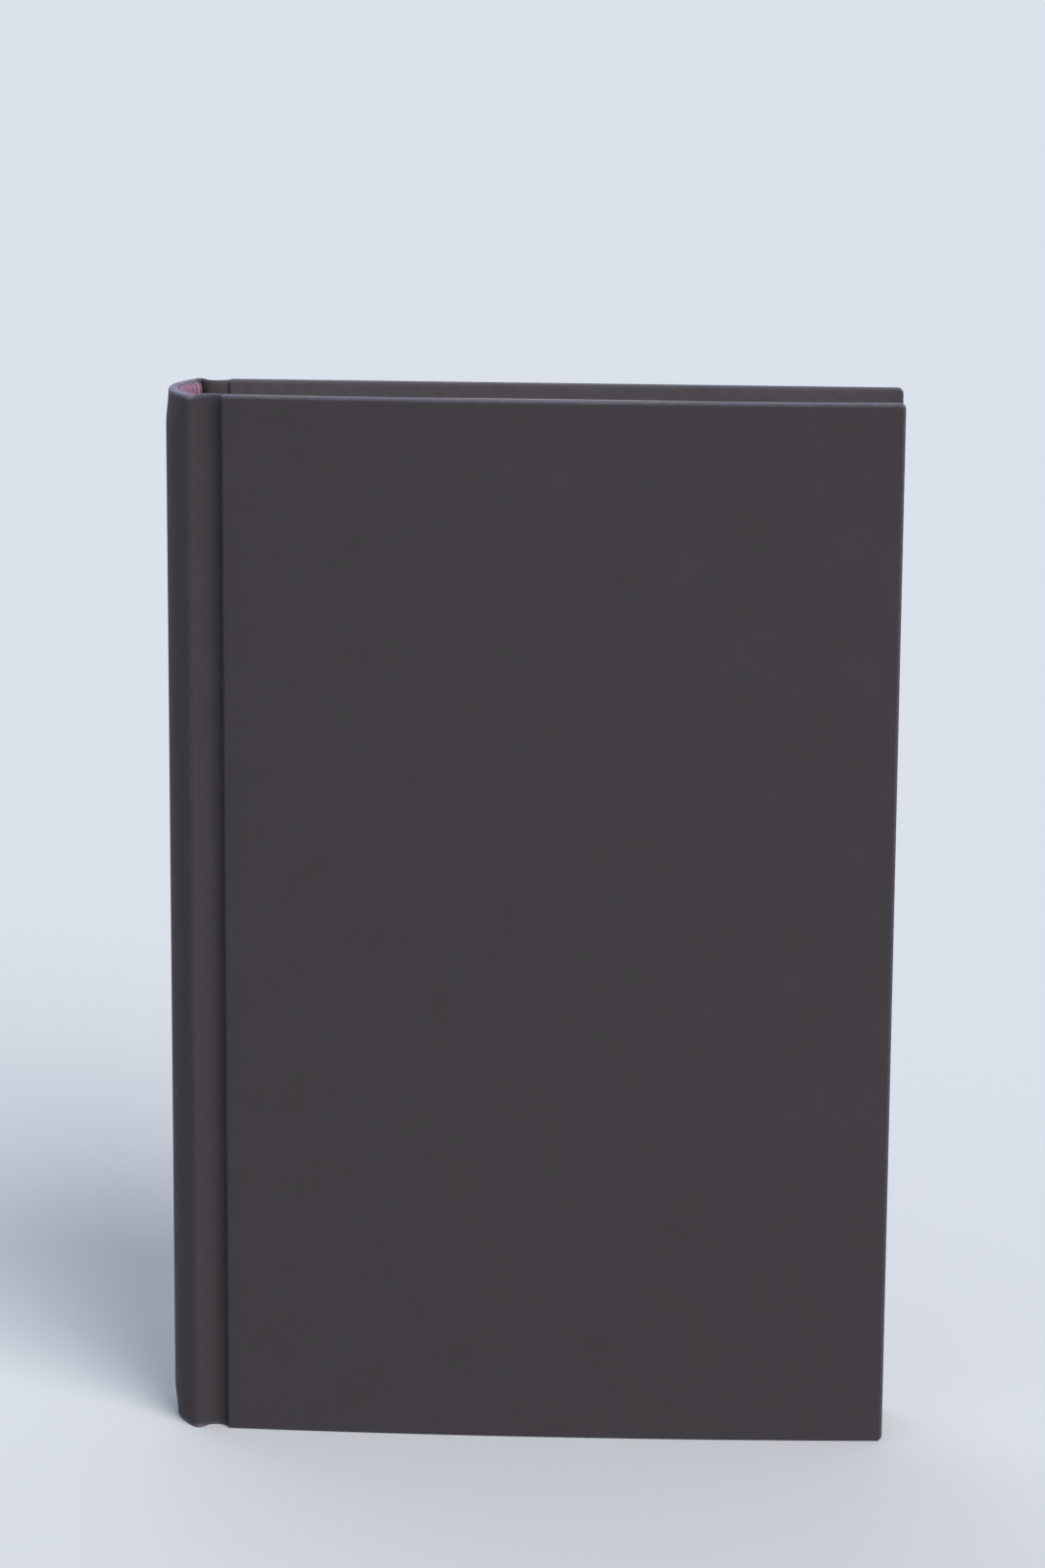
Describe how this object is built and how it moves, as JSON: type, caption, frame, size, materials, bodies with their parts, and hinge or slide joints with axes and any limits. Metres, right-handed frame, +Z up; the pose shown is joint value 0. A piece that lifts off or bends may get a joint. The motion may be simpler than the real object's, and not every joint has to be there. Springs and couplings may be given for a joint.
{
  "type": "hardback book",
  "caption": "Cloth-bound hardback book with rounded spine, French grooves, head and tail bands, and two covers that open flat on double folds.",
  "frame": {"origin": "centre of the bounding box's bottom face, on the surface the closed book stands on", "axes": "+Z up along the spine from tail to head, +X from the spine to the fore-edge, -Y out of the front cover"},
  "size_m": [0.1595, 0.024, 0.235],
  "materials": {
    "book_cloth": "fine plain-weave book cloth, very dark warm charcoal, matt",
    "page_edges": "trimmed edges of uncoated cream book paper",
    "endpaper": "smooth uncoated off-white endpaper",
    "mull": "open stiffened cotton gauze",
    "kraft_paper": "brown lining paper",
    "head_band": "woven band with a round bead, dusty pink",
    "card": "grey-brown card",
    "grey_board": "dense grey binder's board"
  },
  "bodies": {
    "block": {"text_block": "page_edges", "front_flyleaf": "endpaper", "back_flyleaf": "endpaper", "spine_mull": "mull", "spine_liner": "kraft_paper", "head_band": "head_band", "tail_band": "head_band", "spine_inlay": "card", "spine_cloth": "book_cloth"},
    "front_joint": {"front_joint_cloth": "book_cloth", "front_joint_liner": "endpaper"},
    "front_cover": {"front_board": "grey_board", "front_cover_cloth": "book_cloth", "front_pastedown": "endpaper", "front_mull_flap": "mull"},
    "back_joint": {"back_joint_cloth": "book_cloth", "back_joint_liner": "endpaper"},
    "back_cover": {"back_board": "grey_board", "back_cover_cloth": "book_cloth", "back_pastedown": "endpaper", "back_mull_flap": "mull"}
  },
  "joints": [
    {"name": "front_spine_fold", "type": "hinge", "parent": "block", "child": "front_joint", "pos_m": [-0.07245, -0.0078, 0], "axis": [0, 0, -1], "range_deg": [0, 90]},
    {"name": "front_board_fold", "type": "hinge", "parent": "front_joint", "child": "front_cover", "pos_m": [-0.06715, -0.0078, 0], "axis": [0, 0, -1], "range_deg": [0, 90]},
    {"name": "back_spine_fold", "type": "hinge", "parent": "block", "child": "back_joint", "pos_m": [-0.07245, 0.0096, 0], "axis": [0, 0, 1], "range_deg": [0, 90]},
    {"name": "back_board_fold", "type": "hinge", "parent": "back_joint", "child": "back_cover", "pos_m": [-0.06715, 0.0096, 0], "axis": [0, 0, 1], "range_deg": [0, 90]}
  ],
  "couplings": [
    {"joint": "front_spine_fold", "follows": "front_board_fold", "ratio": 1},
    {"joint": "back_spine_fold", "follows": "back_board_fold", "ratio": 1}
  ]
}
